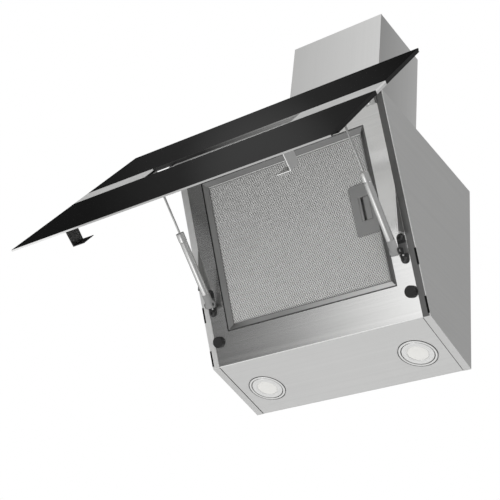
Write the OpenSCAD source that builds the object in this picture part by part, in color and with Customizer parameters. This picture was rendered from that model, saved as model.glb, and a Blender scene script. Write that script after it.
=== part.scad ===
// Angled wall hood with a glass flap, shown with the flap held open.
// X runs along the wall, the wall is the plane Y = 0 and the room lies towards -Y. Z is up.
// The origin is on the wall, in the middle, level with the lower front edge of the body.

/* [Body] */
// Width of the body
body_w = 580; // [575:5:700]
// Depth of the body at its lower front edge
bottom_d = 191; // [185:1:230]
// Depth of the body at the top
top_d = 430; // [400:1:460]
// Height of the body at the front
front_h = 452; // [440:1:500]
// Drop of the underside from the front edge to the wall
bottom_drop = 36.5; // [25:0.5:50]
// Thickness of the stainless sheet
sheet = 1; // [0.8:0.1:1.5]
// Width of the lips folded from the side panels
lip_w = 18; // [14:0.5:22]
// Length of each slot in the lips
lip_slot_len = 37; // [20:1:45]
// Width of each slot in the lips
lip_slot_w = 4; // [2:0.5:6]

/* [Wall fixing] */
// Spacing of the wall screws along the wall
wall_hole_x = 510; // [490:5:520]
// Spacing of the wall screws up the wall
wall_hole_z = 330; // [250:5:380]
// Diameter of the wall screw holes
wall_hole_d = 9; // [6:0.5:12]
// Height of the lower pair of wall screws
wall_hole_low = 60; // [30:1:90]

/* [Filter] */
// Width of the filter opening
opening_w = 455; // [420:1:480]
// Length of the filter opening up the slanted front
opening_len = 367; // [340:1:380]
// Lower edge of the opening, up the front from the lower edge of the body
opening_low = 79; // [75:1:90]
// Depth of the filter cassette
filter_t = 22; // [20:1:26]
// Width of the bevel round the mesh
bevel_w = 14; // [10:0.5:20]
// Depth of the bevel
bevel_d = 8; // [7:0.5:14]
// Thickness of the perforated sheet
mesh_t = 0.8; // [0.5:0.1:1.2]
// Openings of the mesh in a row
mesh_cols = 15; // [10:1:20]
// Rows of mesh openings
mesh_rows = 12; // [8:1:15]
// Width of the bars between mesh openings
mesh_bar = 4; // [2:0.5:6]
// Thickness of the layered core
core_t = 3; // [2:0.5:7]

/* [Filter handle] */
// Width of the handle plate
handle_w = 57; // [50:1:65]
// Length of the handle plate
handle_len = 113; // [90:1:130]
// Lower edge of the handle plate, up the front
handle_low = 208; // [180:1:230]
// Width of the finger pocket
pocket_w = 28; // [24:1:32]
// Length of the finger pocket
pocket_len = 53; // [40:1:60]
// Width of the sliding latch in the pocket
latch_w = 14; // [12:0.5:16]
// Travel of the latch
latch_travel = 8; // [6:0.5:9]

/* [Glass flap] */
// Angle by which the flap stands open
flap_open = 61.2; // [45:0.1:65]
// Width of the glass
glass_w = 800; // [760:5:900]
// Thickness of the glass
glass_t = 4; // [3:0.5:6]
// Height of the upper pane
upper_pane_h = 233; // [210:1:250]
// Height of the lower pane
lower_pane_h = 253.5; // [240:0.5:270]
// Gap between the panes
pane_gap = 62; // [50:1:70]
// Width of the open suction slot between the panes
suction_w = 400; // [300:5:460]
// Depth of the steel carrier behind the glass
carrier_d = 5; // [4:0.5:8]
// Inset of the carrier from the sides and the top of the glass
carrier_in = 1; // [1:0.5:10]
// Inset of the carrier from the lower edge of the glass
carrier_low_in = 34; // [10:1:36]
// Height of the glass above the hinge line
glass_over = 19; // [16:0.5:24]
// Distance from the hinge line to the outer face of the glass
glass_off = 47; // [44:0.5:52]

/* [Flap hinge] */
// Distance of the hinge line in front of the slanted front
hinge_standoff = 8; // [7.5:0.5:10]
// Diameter of the hinge pin
hinge_pin_d = 6; // [5:0.5:7]
// Radius of the eye of the hinge arm
hinge_eye_r = 6.5; // [5.5:0.5:6.5]
// Width of the hinge arm
hinge_arm_w = 13; // [10:0.5:13]

/* [Gas struts] */
// Distance of each strut from the side of the body
strut_in = 40; // [40:1:42]
// Height of the lower strut pivot up the slanted front
strut_foot = 148; // [140:1:165]
// Height of the lower strut pivot off the slanted front
strut_foot_off = 21; // [16:0.5:24]
// Distance of the upper strut pivot down the flap from the hinge
lug_down = 147.5; // [130:0.5:150]
// Height of the upper strut pivot off the carrier
lug_off = 15.5; // [14:0.5:18]
// Diameter of the strut tube
tube_d = 18; // [15:1:19]
// Length of the strut tube
tube_len = 159; // [150:1:160]
// Diameter of the strut rod
rod_d = 5; // [4:0.5:8]
// Diameter of the ball studs
stud_d = 8; // [6:0.5:10]

/* [Lamps] */
// Distance of each lamp from the middle
lamp_x = 203; // [180:1:215]
// Distance of each lamp from the lower front edge, along the underside
lamp_back = 107.5; // [90:0.5:120]
// Diameter of the lamp ring
lamp_d = 90; // [70:1:100]
// Diameter of the lamp lens
lens_d = 60; // [45:1:64]

/* [Fan] */
// Diameter of the impeller
fan_d = 240; // [200:2:240]
// Number of impeller blades
blade_count = 36; // [24:1:40]
// Depth of the fan housing
fan_depth = 150; // [130:1:150]
// Height of the fan axis
fan_z = 200; // [190:1:210]
// Distance of the fan axis to the left of the middle
fan_left = 20; // [10:1:30]
// Diameter of the motor
motor_d = 104; // [80:1:120]

/* [Duct] */
// Outside diameter of the outlet collar
collar_d = 150; // [120:5:150]
// Height of the outlet collar
collar_h = 60; // [40:1:80]

/* [Chimney] */
// Width of the lower chimney cover
chimney_w = 274; // [240:1:300]
// Depth of the lower chimney cover
chimney_d = 200; // [198:1:240]
// Height of the lower chimney cover
chimney_h = 506; // [400:1:700]
// Thickness of the chimney sheet
chimney_t = 0.8; // [0.6:0.1:1.2]

/* [Hidden] */
$fn = 64;

// Colours
steel = [0.74, 0.74, 0.73];
bright_steel = [0.86, 0.86, 0.86];
zinc = [0.66, 0.67, 0.69];
black_glass = [0.05, 0.05, 0.055];
black_paint = [0.1, 0.1, 0.1];
black_rubber = [0.12, 0.12, 0.12];
grey_plastic = [0.55, 0.55, 0.55];
lamp_white = [0.95, 0.94, 0.9];

// Overrun of every cut
over = 1;
// Seam between two sheets that meet
seam = 0.3;
// Radial clearance of a pin in its bore
fit = 0.05;
// Clearance between a moving piece and its neighbour
play = 0.5;

// Angles and lengths of the body outline
lean = atan((top_d - bottom_d) / front_h);
pitch = atan(bottom_drop / bottom_d);
slant = norm([top_d - bottom_d, front_h]);
inner_w = body_w - 2 * sheet;

// Slots in the lips, at the outer corner: their lower ends up the front
lip_slot_lows = [6, 112];

// Filter cassette
filter_play = 1;
frame_w = opening_w - 2 * filter_play;
frame_len = opening_len - 2 * filter_play;
window_w = opening_w - 2 * bevel_w;
window_len = opening_len - 2 * bevel_w;
frame_rim = 2;
rebate = 4;
rebate_w = window_w + 2 * rebate;
rebate_len = window_len + 2 * rebate;
filter_mid = opening_low + opening_len / 2;
mesh_front = -sheet - bevel_d;
tab_w = 24;
tab_t = 4;
tab_out = 4.5;
tab_spread = 220;

// Handle, pocket and latch of the filter
handle_t = 1.5;
handle_right = window_w / 2 - seam;
pocket_edge = 11;
pocket_right = handle_right - pocket_edge;
pocket_up = 31;
pocket_low = handle_low + pocket_up;
pocket_wall = 1;
pocket_d = 12;
latch_t = 6;
bolt_len = 20;
bolt_t = 3;
bolt_out = 4;
bolt_tip = opening_w / 2 + bolt_out;

// Magnets of the catches on the front
magnet_in = 31.8;
magnet_x = body_w / 2 - magnet_in;
magnet_up = 59;
magnet_d = 27;
magnet_t = 9;

// Brackets of the struts on the body, placed from its sides
strut_x = body_w / 2 - strut_in;
mount_in = 30;
mount_x = body_w / 2 - mount_in;
mount_w = 19;
mount_t = 3;
mount_screws = [130, 178];
ear_in = 30.5;
ear_x = body_w / 2 - ear_in;
ear_t = 2.5;
ear_w = 15;
gusset_in = 19.5;
gusset_x = body_w / 2 - gusset_in;
gusset_top = 290;
gusset_low = 187;
gusset_peak = 190;
gusset_h = 29;
screw_head_d = 15;
screw_head_h = 4;
head_share = 0.7;

// Hinge, placed from the sides of the body
arm_in = 17;
arm_x = body_w / 2 - arm_in;
bracket_in = 18.6;
bracket_right = body_w / 2 - bracket_in;
bracket_w = 26;
bracket_len = 30;
bracket_t = 2;
bracket_ear_t = 3;
bracket_gap = 0.4;
pin_head_d = 9;
pin_head_t = 1.5;
hinge_screw_in = 37;
hinge_screw_x = body_w / 2 - hinge_screw_in;
hinge_screw_down = 22;
hinge_screw_d = 8;
hinge_screw_h = 2;
arm_down = 10;
foot_len = 46;
foot_t = 2.5;

// Places in the flap frame: down from the hinge line, and inwards from it
glass_out = -glass_off;
glass_in = glass_out + glass_t;
carrier_back = glass_in + carrier_d;
upper_top = -glass_over;
gap_top = upper_top + upper_pane_h;
gap_low = gap_top + pane_gap;
glass_low = gap_low + lower_pane_h;
carrier_rim = 6;
touch_w = 150;
touch_h = 32;
touch_t = 2;

// Strikers of the catches, on the flap
striker_in = 14;
striker_x = body_w / 2 - striker_in;
striker_w = 31;
striker_len = 39;
striker_t = 1.5;
striker_down = 452;
striker_foot = 12;
striker_flare = 3;

// Strut lugs on the flap
lug_w = 18;
lug_t = 2;
lug_gap = 10;
lug_x = strut_x + lug_gap;
lug_len = 34;
lug_foot_w = 16;

// Struts, measured along the strut from the lower pivot
strut_end_len = 27;
strut_end_d = 19;
strut_eye_r = 9;
tube_wall = 1.5;
tube_cap = 6;
collar_ring = 0.5;
collar_ring_len = 9;
piston_d = 14.2;
piston_t = 5;
rod_spare = 4;
socket_r = 7;
socket_w = 11;
socket_len = 17;
socket_neck_d = 9;

// Lamps
lamp_gap = 1;
bezel_proud = 0.9;
bezel_groove_r = 38;
bezel_groove = 0.8;
lens_crown = 1.6;
lens_steps = 8;
lamp_flange = 6;
lamp_flange_t = 1.5;
lamp_can_d = 74;
lamp_can_h = 26;
lamp_ledge = 4;

// Fan and motor, measured forward from the back of the housing
fan_back = 26;
fan_wall = 1.2;
scroll_gap = 12;
scroll_spread = 40;
scroll_min = fan_d / 2 + scroll_gap;
scroll_max = fan_d / 2 + scroll_spread;
scroll_from = 96;
scroll_steps = 44;
outlet_w = 156;
inlet_d = 190;
inlet_lip = 10;
impeller_back = 60;
impeller_h = 80;
blade_depth = 22;
blade_in_r = fan_d / 2 - blade_depth;
blade_r = 17;
blade_t = 1;
blade_sweep = 84;
blade_lead = 3;
hub_d = 24;
hub_h = 26;
shaft_d = 8;
motor_len = 54;
motor_cap_d = 60;
motor_cap_len = 4;
shaft_in = 24;
foot_d = 20;
foot_spread = 84;

// Duct collar and its non-return flaps
collar_wall = 1.2;
collar_flange = 18;
duct_back = 101;
duct_y = -duct_back;
damper_up = 26;
damper_rod_d = 4;
damper_t = 1.2;
damper_gap = 1;
knuckle_r = 3.6;
knuckle_half = 24;
knuckle_out = 50;
knuckle_gap = 1;
flap_root = 4.4;

// Chimney sections
chimney_lip = 15;
chimney_play = 0.8;
upper_low = 20;
upper_short = 6;
upper_inset = chimney_t + chimney_play;
upper_w = chimney_w - 2 * upper_inset;
hat_w = 236;
hat_t = 1.5;
hat_h = 30;
hat_d = 20;
hat_below = 45;
hat_hole_x = 160;
hat_hole_d = 7;

// Electrics
box_w = 72;
box_d = 58;
box_h = 190;
box_x = -206;
box_low = 36;
box_lid = 2;
gland_x = 112;
gland_y = -30;
gland_d = 20;
gland_bore = 11;
gland_up = 12;
gland_down = 10;
gland_nut_d = 26;
gland_nut_t = 5;

// A point of the slanted front, up the slope and off it, in Y and Z
function front_point(up, off) = [
    -bottom_d - up * sin(lean) - off * cos(lean),
    up * cos(lean) - off * sin(lean)
];
// Turn of the flap frame about X
flap_turn = -(90 - lean + flap_open);
hinge_point = front_point(slant, hinge_standoff);
// A point of the flap, down from the hinge line and inwards from it, in Y and Z
function flap_point(down, in) = hinge_point + [
    down * cos(flap_turn) - in * sin(flap_turn),
    down * sin(flap_turn) + in * cos(flap_turn)
];
strut_low = front_point(strut_foot, strut_foot_off);
lug_in = carrier_back + lug_off;
strut_high = flap_point(lug_down, lug_in);
strut_run = strut_high - strut_low;
strut_len = norm(strut_run);
strut_turn = atan2(strut_run[1], strut_run[0]) - 90;
// Length between the pivots when the flap is shut
shut_len = norm(front_point(slant - lug_down, hinge_standoff - lug_in) - strut_low);
strut_stroke = strut_len - shut_len;

// Lower front corner of the side outline, set in from the front and from the underside
function corner(front_in, under_in) =
    let (back = (front_in / cos(lean) - under_in * tan(lean) / cos(pitch)) / (1 - tan(pitch) * tan(lean)))
    [back - bottom_d, under_in / cos(pitch) - back * tan(pitch)];
// Side outline in Y and Z, set in from each of its four edges
function outline(front_in, under_in, top_in, back_in) =
    let (top_z = front_h - top_in)
    [
        corner(front_in, under_in),
        [front_in / cos(lean) - bottom_d - top_z * tan(lean), top_z],
        [-back_in, top_z],
        [-back_in, under_in / cos(pitch) - (bottom_d - back_in) * tan(pitch)]
    ];

// Frame of the slanted front: X, up the slope, off the slope
module on_front() {
    translate([0, -bottom_d, 0])
        rotate([90 + lean, 0, 0])
            children();
}
// Frame of the underside: X, back along it, up into the body
module on_underside() {
    translate([0, -bottom_d, 0])
        rotate([-pitch, 0, 0])
            children();
}
// Frame of the flap: X, down from the hinge line, inwards from it
module on_flap() {
    translate([0, hinge_point[0], hinge_point[1]])
        rotate([flap_turn, 0, 0])
            children();
}
// Frame of the fan: X from its axis, up, forward from the back of the housing
module on_fan() {
    translate([-fan_left, -fan_back, fan_z])
        rotate([90, 0, 0])
            children();
}
// Frame of the right strut: X from its axis, and Z along it from the lower pivot
module on_strut() {
    translate([strut_x, strut_low[0], strut_low[1]])
        rotate([strut_turn, 0, 0])
            children();
}
// The left-hand copy of a piece made on the right
module left() {
    mirror([1, 0, 0])
        children();
}
module both_sides() {
    children();
    left()
        children();
}
// A flat shape in Y and Z, drawn out along X from one place for a width
module drawn_x(from, width) {
    translate([from, 0, 0])
        rotate([90, 0, 90])
            linear_extrude(width)
                children();
}
// A round bar along X
module bar_x(from, length, d) {
    translate([from, 0, 0])
        rotate([0, 90, 0])
            cylinder(h = length, d = d);
}
// A flat box given by its corner ranges
module slab(x, y, z) {
    translate([x[0], y[0], z[0]])
        cube([x[1] - x[0], y[1] - y[0], z[1] - z[0]]);
}

// Body shells
module back_panel() {
    color(steel)
        difference() {
            drawn_x(-inner_w / 2, inner_w)
                difference() {
                    polygon(outline(0, sheet, sheet, 0));
                    polygon(outline(-over, -over, -over, sheet));
                }
            for (x = [-wall_hole_x / 2, wall_hole_x / 2], z = [0, wall_hole_z])
                translate([x, over, wall_hole_low + z])
                    rotate([90, 0, 0])
                        cylinder(h = sheet + 2 * over, d = wall_hole_d);
        }
}
module side_panel() {
    color(steel)
        difference() {
            drawn_x(body_w / 2 - lip_w, lip_w)
                polygon(outline(0, 0, 0, 0));
            drawn_x(body_w / 2 - lip_w - over, lip_w + over - sheet)
                polygon(outline(sheet, sheet, -over, -over));
            lip_slots(0);
        }
}
// Cuts of the lip slots on the right, grown for the sheet behind the lip
module lip_slots(grow) {
    on_front()
        for (low = lip_slot_lows)
            slab(
                [body_w / 2 - lip_slot_w - grow, body_w / 2 + over],
                [low - grow, low + lip_slot_len + grow],
                [-2 * sheet - over * grow, over]
            );
}
module top_panel() {
    color(steel)
        difference() {
            drawn_x(-inner_w / 2, inner_w)
                difference() {
                    polygon(outline(2 * sheet + seam, 0, 0, 0));
                    polygon(outline(-over, -over, sheet, -over));
                }
            translate([0, duct_y, front_h - sheet - over])
                cylinder(h = sheet + 2 * over, d = collar_d - 2 * collar_wall);
            translate([gland_x, gland_y, front_h - sheet - over])
                cylinder(h = sheet + 2 * over, d = gland_d);
        }
}
module front_panel() {
    color(steel)
        difference() {
            union() {
                drawn_x(-inner_w / 2, inner_w)
                    difference() {
                        polygon(outline(sheet, sheet, 0, 0));
                        polygon(outline(2 * sheet, -over, -over, -over));
                    }
                on_front()
                    translate([-opening_w / 2 - sheet, opening_low - sheet, -sheet - filter_t])
                        cube([opening_w + 2 * sheet, opening_len + 2 * sheet, filter_t]);
            }
            on_front()
                translate([-opening_w / 2, opening_low, -sheet - filter_t - over])
                    cube([opening_w, opening_len, filter_t + 2 * over]);
            both_sides()
                lip_slots(play);
            on_front()
                latch_keeper();
            on_front()
                filter_tabs(filter_play);
        }
}
// Opening in the flange of the front for the latch bolt
module latch_keeper() {
    slab(
        [opening_w / 2 - over, opening_w / 2 + sheet + over],
        [latch_mid() - bolt_len / 2 - play, latch_mid() + bolt_len / 2 + play],
        [bolt_back() - play, bolt_back() + bolt_t + play]
    );
}
module light_panel() {
    color(steel)
        difference() {
            drawn_x(-inner_w / 2, inner_w)
                difference() {
                    polygon(outline(2 * sheet + seam, sheet, 0, sheet));
                    polygon(outline(-over, 2 * sheet, -over, -over));
                }
            both_sides()
                on_underside()
                    translate([lamp_x, lamp_back, 0])
                        cylinder(h = 2 * sheet + over, d = lamp_d + 2 * lamp_gap);
        }
}

// Filter cassette
function latch_mid() = pocket_low + pocket_len / 2;
function bolt_back() = mesh_front - mesh_t - bolt_t - seam;
// Tabs on the left edge of the frame, grown for the openings that they enter
module filter_tabs(grow) {
    for (s = [-tab_spread / 2, tab_spread / 2])
        slab(
            [-opening_w / 2 - tab_out - grow, -frame_w / 2 + over],
            [filter_mid + s - tab_w / 2 - grow, filter_mid + s + tab_w / 2 + grow],
            [bolt_back() - grow, bolt_back() + tab_t + grow]
        );
}
module filter_frame() {
    color(steel)
        on_front()
            difference() {
                union() {
                    translate([-frame_w / 2, filter_mid - frame_len / 2, -sheet - filter_t])
                        cube([frame_w, frame_len, filter_t]);
                    filter_tabs(0);
                }
                hull() {
                    translate([-frame_w / 2 + frame_rim, filter_mid - frame_len / 2 + frame_rim, -sheet])
                        cube([frame_w - 2 * frame_rim, frame_len - 2 * frame_rim, over]);
                    translate([-window_w / 2, filter_mid - window_len / 2, mesh_front])
                        cube([window_w, window_len, over]);
                }
                translate([-window_w / 2, filter_mid - window_len / 2, mesh_front - over])
                    cube([window_w, window_len, 2 * over]);
                translate([-rebate_w / 2, filter_mid - rebate_len / 2, -sheet - filter_t - over])
                    cube([rebate_w, rebate_len, filter_t - bevel_d + over]);
                slab(
                    [window_w / 2, opening_w / 2],
                    [latch_mid() - bolt_len / 2 - play, latch_mid() + bolt_len / 2 + play],
                    [bolt_back() - play, bolt_back() + bolt_t + play]
                );
            }
}
// Opening through the mesh and the core for the handle pocket and the latch bolt
module pocket_space(back) {
    slab(
        [pocket_right - pocket_w - pocket_wall - play, pocket_right + pocket_wall + play],
        [pocket_low - pocket_wall - play, pocket_low + pocket_len + pocket_wall + play],
        [back - over, mesh_front + over]
    );
}
module bolt_space(back) {
    slab(
        [pocket_right, window_w / 2 + rebate + over],
        [latch_mid() - bolt_len / 2 - play, latch_mid() + bolt_len / 2 + play],
        [back - over, mesh_front - mesh_t]
    );
}
module filter_mesh() {
    pitch_x = window_w / mesh_cols;
    pitch_y = window_len / mesh_rows;
    color(bright_steel)
        on_front()
            difference() {
                translate([0, filter_mid, mesh_front - mesh_t])
                    linear_extrude(mesh_t)
                        difference() {
                            square([rebate_w - 2 * seam, rebate_len - 2 * seam], center = true);
                            for (i = [0 : mesh_cols - 1], j = [0 : mesh_rows - 1])
                                translate([
                                    (i - (mesh_cols - 1) / 2) * pitch_x,
                                    (j - (mesh_rows - 1) / 2) * pitch_y
                                ])
                                    scale([(pitch_x - mesh_bar) / 2, (pitch_y - mesh_bar) / 2])
                                        circle(r = 1, $fn = 4);
                        }
                pocket_space(mesh_front - mesh_t);
            }
}
module filter_core() {
    back = mesh_front - mesh_t - core_t;
    color(zinc)
        on_front()
            difference() {
                translate([0, filter_mid, back])
                    linear_extrude(core_t)
                        square([rebate_w - 2 * seam, rebate_len - 2 * seam], center = true);
                pocket_space(back);
                bolt_space(back);
            }
}
module filter_handle() {
    low = handle_low;
    color(grey_plastic)
        on_front()
            difference() {
                union() {
                    slab(
                        [handle_right - handle_w, handle_right],
                        [low, low + handle_len],
                        [mesh_front, mesh_front + handle_t]
                    );
                    slab(
                        [pocket_right - pocket_w - pocket_wall, pocket_right + pocket_wall],
                        [pocket_low - pocket_wall, pocket_low + pocket_len + pocket_wall],
                        [mesh_front - pocket_d + pocket_wall, mesh_front + handle_t]
                    );
                }
                slab(
                    [pocket_right - pocket_w, pocket_right],
                    [pocket_low, pocket_low + pocket_len],
                    [mesh_front - pocket_d + 2 * pocket_wall, mesh_front + handle_t + over]
                );
                slab(
                    [pocket_right - over, pocket_right + pocket_wall + over],
                    [latch_mid() - bolt_len / 2 - play, latch_mid() + bolt_len / 2 + play],
                    [bolt_back() - play, bolt_back() + bolt_t + seam / 2]
                );
            }
}
module filter_latch() {
    color(grey_plastic)
        on_front() {
            slab(
                [pocket_right - latch_w - play, pocket_right - play],
                [pocket_low + play, pocket_low + pocket_len - play],
                [mesh_front - pocket_d + 2 * pocket_wall + seam, bolt_back() + latch_t]
            );
            slab(
                [pocket_right - latch_w, bolt_tip],
                [latch_mid() - bolt_len / 2, latch_mid() + bolt_len / 2],
                [bolt_back(), bolt_back() + bolt_t - seam / 2]
            );
        }
}
module catch_magnets() {
    color(black_rubber)
        both_sides()
            on_front()
                translate([magnet_x, magnet_up, -sheet])
                    cylinder(h = magnet_t, d = magnet_d);
}

// Brackets that carry the struts
module strut_mount() {
    color(black_paint) {
        on_front() {
            hull()
                for (up = mount_screws)
                    translate([mount_x, up, -sheet])
                        cylinder(h = mount_t, d = mount_w, $fn = 32);
            translate([ear_x, strut_foot - ear_w / 2, -sheet])
                cube([ear_t, ear_w, strut_foot_off + sheet]);
            translate([0, strut_foot, strut_foot_off])
                bar_x(ear_x, ear_t, ear_w);
            translate([0, strut_foot, strut_foot_off])
                bar_x(strut_x - strut_eye_r, ear_x + over - strut_x + strut_eye_r, stud_d);
        }
    }
}
module strut_gusset() {
    color(steel)
        on_front()
            translate([gusset_x, 0, 0])
                rotate([90, 0, 90])
                    linear_extrude(sheet)
                        polygon([
                            [gusset_low, -sheet],
                            [gusset_top, -sheet],
                            [gusset_peak, gusset_h],
                            [gusset_low, gusset_h]
                        ]);
}
module bracket_screws() {
    color(black_paint)
        both_sides()
            on_front()
                for (up = mount_screws)
                    translate([mount_x, up, mount_t - sheet])
                        cylinder(h = screw_head_h, d1 = screw_head_d, d2 = screw_head_d * head_share);
}

// Hinges of the flap
module hinge_bracket() {
    color(zinc)
        on_front()
            difference() {
                union() {
                    translate([bracket_right - bracket_w, slant - bracket_len, -sheet])
                        cube([bracket_w, bracket_len - seam, bracket_t]);
                    translate([bracket_right - bracket_ear_t, slant - bracket_len, -sheet])
                        cube([bracket_ear_t, bracket_len, hinge_standoff + sheet]);
                    translate([0, slant, hinge_standoff])
                        bar_x(bracket_right - bracket_ear_t, bracket_ear_t, 2 * hinge_eye_r);
                }
                translate([0, slant, hinge_standoff])
                    bar_x(bracket_right - bracket_ear_t - over, bracket_ear_t + 2 * over, hinge_pin_d + 2 * fit);
            }
}
module hinge_pins() {
    start = bracket_right - bracket_ear_t;
    color(bright_steel)
        both_sides()
            on_front()
                translate([0, slant, hinge_standoff]) {
                    bar_x(start, arm_x + hinge_arm_w + bracket_gap - start, hinge_pin_d);
                    bar_x(start - pin_head_t, pin_head_t, pin_head_d);
                    bar_x(arm_x + hinge_arm_w + bracket_gap, pin_head_t, pin_head_d);
                }
}
module hinge_screws() {
    color(bright_steel)
        both_sides()
            on_front()
                translate([hinge_screw_x, slant - hinge_screw_down, bracket_t - sheet])
                    cylinder(h = hinge_screw_h, d1 = hinge_screw_d, d2 = hinge_screw_d * head_share);
}
module hinge_arm() {
    color(black_paint)
        on_flap()
            difference() {
                union() {
                    bar_x(arm_x, hinge_arm_w, 2 * hinge_eye_r);
                    slab([arm_x, arm_x + hinge_arm_w], [-hinge_eye_r, hinge_eye_r], [carrier_back, 0]);
                    translate([arm_x, 0, 0])
                        rotate([90, 0, 90])
                            linear_extrude(hinge_arm_w)
                                polygon([
                                    [0, -hinge_eye_r],
                                    [-hinge_eye_r, carrier_back],
                                    [foot_len - hinge_eye_r, carrier_back],
                                    [foot_len - hinge_eye_r, carrier_back + foot_t],
                                    [arm_down + foot_t, carrier_back + arm_down],
                                    [hinge_eye_r, -hinge_eye_r]
                                ]);
                }
                bar_x(arm_x - over, hinge_arm_w + 2 * over, hinge_pin_d + 2 * fit);
            }
}

// Glass flap
module pane(top, low) {
    color(black_glass)
        on_flap()
            slab([-glass_w / 2, glass_w / 2], [top, low], [glass_out, glass_in]);
}
module flap_carrier() {
    half = glass_w / 2 - carrier_in;
    top = upper_top + carrier_in;
    low = glass_low - carrier_low_in;
    color(black_paint)
        on_flap()
            difference() {
                slab([-half, half], [top, low], [glass_in, carrier_back]);
                slab([-suction_w / 2, suction_w / 2], [gap_top, gap_low], [glass_in - over, carrier_back + over]);
                for (span = [[top, gap_top], [gap_low, low]])
                    slab(
                        [-half + carrier_rim, half - carrier_rim],
                        [span[0] + carrier_rim, span[1] - carrier_rim],
                        [glass_in - over, carrier_back - sheet]
                    );
            }
}
module gap_trims() {
    color(bright_steel)
        both_sides()
            on_flap()
                slab([suction_w / 2, glass_w / 2], [gap_top + seam, gap_low - seam], [glass_out, glass_in]);
}
module touch_board() {
    color(black_paint)
        on_flap()
            slab(
                [-touch_w / 2, touch_w / 2],
                [gap_top - carrier_rim - seam - touch_h, gap_top - carrier_rim - seam],
                [glass_in, glass_in + touch_t]
            );
}
// An angle of sheet: a wall off the carrier and a flange that lies on the magnet when the flap is shut
module striker() {
    face = hinge_standoff + sheet - magnet_t - seam;
    color(steel)
        on_flap() {
            slab(
                [striker_x - striker_w, striker_x],
                [striker_down, striker_down + striker_len],
                [face - striker_t, face]
            );
            translate([striker_x - striker_t, 0, 0])
                rotate([90, 0, 90])
                    linear_extrude(striker_t)
                        polygon([
                            [striker_down, face],
                            [striker_down + striker_len, face],
                            [striker_down + striker_len, carrier_back],
                            [striker_down - striker_flare, carrier_back]
                        ]);
            slab(
                [striker_x - striker_t, striker_x + striker_foot],
                [striker_down, striker_down + striker_len],
                [carrier_back, carrier_back + striker_t]
            );
        }
}
module strut_lug() {
    color(zinc)
        on_flap() {
            slab(
                [lug_x, lug_x + lug_foot_w],
                [lug_down - lug_len / 2, lug_down + lug_len / 2],
                [carrier_back, carrier_back + lug_t]
            );
            translate([lug_x, 0, 0])
                rotate([90, 0, 90])
                    linear_extrude(lug_t)
                        polygon([
                            [lug_down - lug_w / 2, carrier_back],
                            [lug_down + lug_w / 2, carrier_back],
                            [lug_down + lug_w / 2, lug_in],
                            [lug_down - lug_w / 2, lug_in]
                        ]);
            translate([0, lug_down, lug_in]) {
                bar_x(lug_x, lug_t, lug_w);
                bar_x(strut_x + socket_w / 2 + play, lug_x + lug_t - strut_x - socket_w / 2 - play, stud_d);
            }
        }
}

// Gas struts
module strut_end() {
    color(grey_plastic)
        on_strut()
            difference() {
                union() {
                    bar_x(-strut_eye_r, 2 * strut_eye_r, 2 * strut_eye_r);
                    cylinder(h = strut_end_len, d = strut_end_d);
                }
                bar_x(-strut_eye_r - over, 2 * strut_eye_r + 2 * over, stud_d + 2 * fit);
            }
}
module strut_tube() {
    color(steel)
        on_strut()
            difference() {
                union() {
                    translate([0, 0, strut_end_len])
                        cylinder(h = tube_len, d = tube_d);
                    translate([0, 0, strut_end_len + tube_len - collar_ring_len])
                        cylinder(h = collar_ring_len, d = tube_d + 2 * collar_ring);
                }
                translate([0, 0, strut_end_len + tube_wall])
                    cylinder(h = tube_len - tube_wall - tube_cap, d = tube_d - 2 * tube_wall);
                translate([0, 0, strut_end_len + tube_len - tube_cap - over])
                    cylinder(h = tube_cap + 2 * over, d = rod_d + 2 * fit);
            }
}
module strut_rod() {
    start = strut_end_len + tube_wall + strut_stroke + rod_spare;
    color(bright_steel)
        on_strut() {
            translate([0, 0, start])
                cylinder(h = strut_len - socket_len + over - start, d = rod_d);
            translate([0, 0, start])
                cylinder(h = piston_t, d = piston_d);
        }
}
module rod_socket() {
    color(black_paint)
        on_strut()
            difference() {
                union() {
                    translate([0, 0, strut_len])
                        bar_x(-socket_w / 2, socket_w, 2 * socket_r);
                    translate([0, 0, strut_len - socket_len])
                        cylinder(h = socket_len, d = socket_neck_d);
                }
                translate([0, 0, strut_len - socket_len - over])
                    cylinder(h = 2 * over, d = rod_d);
            }
}

// Lamps
module lamp_bezel() {
    outer = lamp_d / 2;
    inner = lens_d / 2 + fit;
    color(bright_steel)
        on_underside()
            translate([lamp_x, lamp_back, 0])
                rotate_extrude()
                    polygon([
                        [inner, 2 * sheet],
                        [inner, sheet],
                        [inner + bezel_proud, sheet - bezel_proud / 2],
                        [bezel_groove_r - bezel_groove, sheet - bezel_proud / 2],
                        [bezel_groove_r, sheet],
                        [bezel_groove_r + bezel_groove, sheet - bezel_proud],
                        [outer - bezel_proud, sheet - bezel_proud],
                        [outer, sheet],
                        [outer, 2 * sheet]
                    ]);
}
module lamp_lenses() {
    r = lens_d / 2 - fit;
    color(lamp_white)
        both_sides()
            on_underside()
                translate([lamp_x, lamp_back, 0])
                    rotate_extrude()
                        polygon(concat(
                            [[0, 2 * sheet], [r, 2 * sheet]],
                            [for (i = [0 : lens_steps])
                                let (share = 1 - i / lens_steps)
                                [r * share, sheet - lens_crown * (1 - share ^ 2)]]
                        ));
}
module lamp_housings() {
    color(zinc)
        both_sides()
            on_underside()
                translate([lamp_x, lamp_back, 2 * sheet])
                    difference() {
                        union() {
                            cylinder(h = lamp_flange_t, d = lamp_d + 2 * lamp_flange);
                            cylinder(h = lamp_can_h, d = lamp_can_d);
                        }
                        translate([0, 0, -over])
                            cylinder(h = lamp_can_h + over - lamp_flange_t, d = lens_d - 2 * lamp_ledge);
                    }
}

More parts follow.
